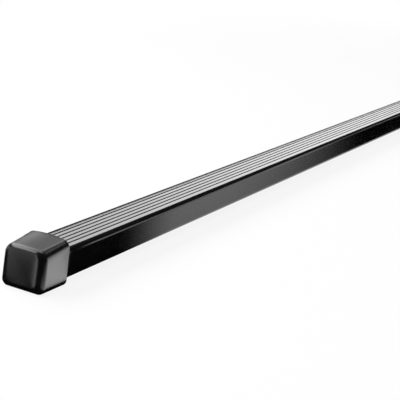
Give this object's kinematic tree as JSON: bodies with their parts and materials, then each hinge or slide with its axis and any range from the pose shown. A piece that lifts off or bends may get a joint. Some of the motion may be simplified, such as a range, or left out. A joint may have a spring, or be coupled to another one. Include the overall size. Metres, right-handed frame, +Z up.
{
  "type": "roof rack crossbar",
  "caption": "Straight rectangular load bar for a roof rack: a steel tube in a black plastic jacket with a grooved top, and a soft black cap on each end.",
  "frame": {"origin": "midway along the bar and midway across it, on the surface that the caps' flat undersides stand on", "axes": "+X along the bar from the left cap to the right cap, +Z up out of the grooved top, +Y across the bar"},
  "size_m": [1.2778, 0.0344, 0.0324],
  "materials": {
    "galvanised_steel": "galvanised strip, satin, with a cut end",
    "jacket_plastic": "extruded soft PVC, glossy, with fine draw lines",
    "cap_rubber": "moulded, satin to matt"
  },
  "bodies": {
    "bar": {"steel_tube": "galvanised_steel", "jacket": "jacket_plastic"},
    "cap_left": {"end_cap_left": "cap_rubber"},
    "cap_right": {"end_cap_right": "cap_rubber"}
  },
  "joints": [
    {"name": "cap_left_pull", "type": "slide", "parent": "bar", "child": "cap_left", "axis": [-1, 0, 0], "range_m": [0, 0.04]},
    {"name": "cap_right_pull", "type": "slide", "parent": "bar", "child": "cap_right", "axis": [1, 0, 0], "range_m": [0, 0.04]}
  ]
}
